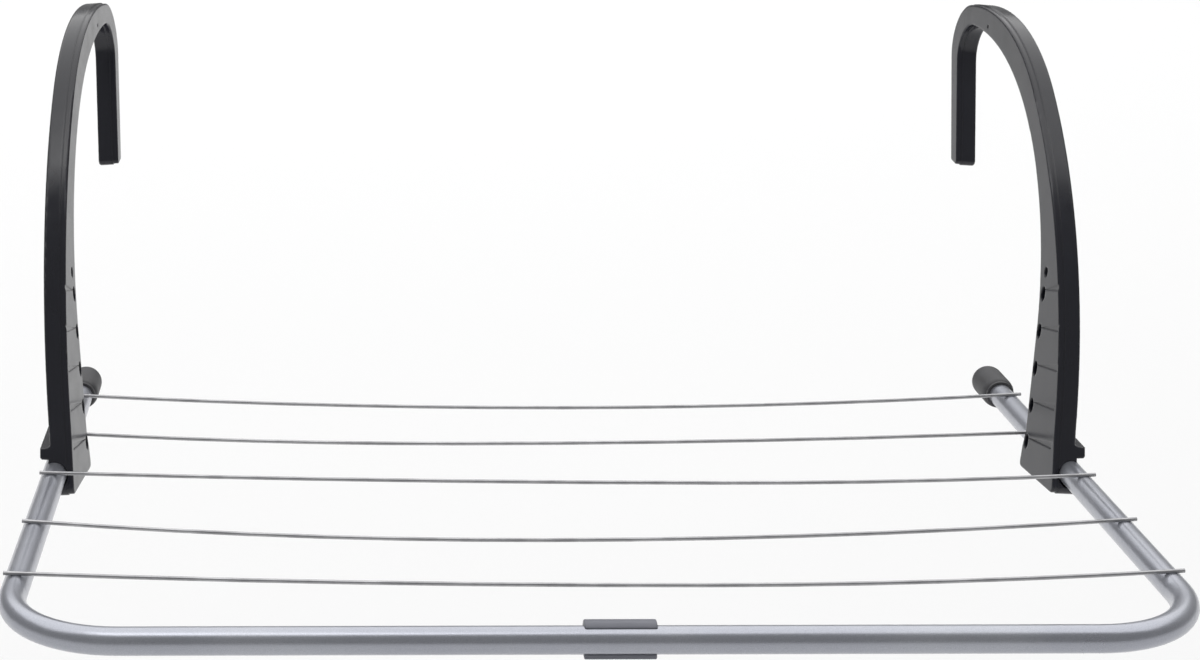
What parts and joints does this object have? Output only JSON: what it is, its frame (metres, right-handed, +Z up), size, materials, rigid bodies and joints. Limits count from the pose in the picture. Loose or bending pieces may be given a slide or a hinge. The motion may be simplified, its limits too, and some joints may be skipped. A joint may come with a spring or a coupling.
{
  "type": "hang-over drying rack",
  "caption": "Drying rack that hangs over a rail: a U-shaped tube frame crossed by drying wires, carried by two curved hook arms that clip on the side tubes and tilt on them.",
  "frame": {"origin": "middle of the rail seat: the highest point of the underside of the two hooks, half way between them", "axes": "+X along the rail, to the right seen from the front; +Y from the front tube over the rail; +Z up"},
  "size_m": [0.606, 0.505, 0.2528],
  "materials": {
    "painted_tube": "semi-gloss silver-grey paint",
    "steel_wire": "drawn wire, satin",
    "black_plastic": "moulded, satin to gloss",
    "black_rubber": "moulded, matt",
    "grey_plastic": "moulded, satin blue-grey"
  },
  "bodies": {
    "frame": {"frame_tube": "painted_tube", "drying_wire_1": "steel_wire", "drying_wire_2": "steel_wire", "drying_wire_3": "steel_wire", "drying_wire_4": "steel_wire", "drying_wire_5": "steel_wire", "end_cap_right": "black_rubber", "end_cap_left": "black_rubber"},
    "arm_right": {"hook_arm_right": "black_plastic"},
    "arm_left": {"hook_arm_left": "black_plastic"},
    "clip": {"front_clip": "grey_plastic"}
  },
  "joints": [
    {"name": "arm_right_tilt", "type": "hinge", "parent": "frame", "child": "arm_right", "pos_m": [0.293, -0.2, -0.225], "axis": [0, 1, 0], "range_deg": [-72, 15]},
    {"name": "arm_left_tilt", "type": "hinge", "parent": "frame", "child": "arm_left", "pos_m": [-0.293, -0.2, -0.225], "axis": [0, -1, 0], "range_deg": [-72, 15]},
    {"name": "clip_slide", "type": "slide", "parent": "frame", "child": "clip", "axis": [1, 0, 0], "range_m": [-0.2, 0.2]}
  ]
}
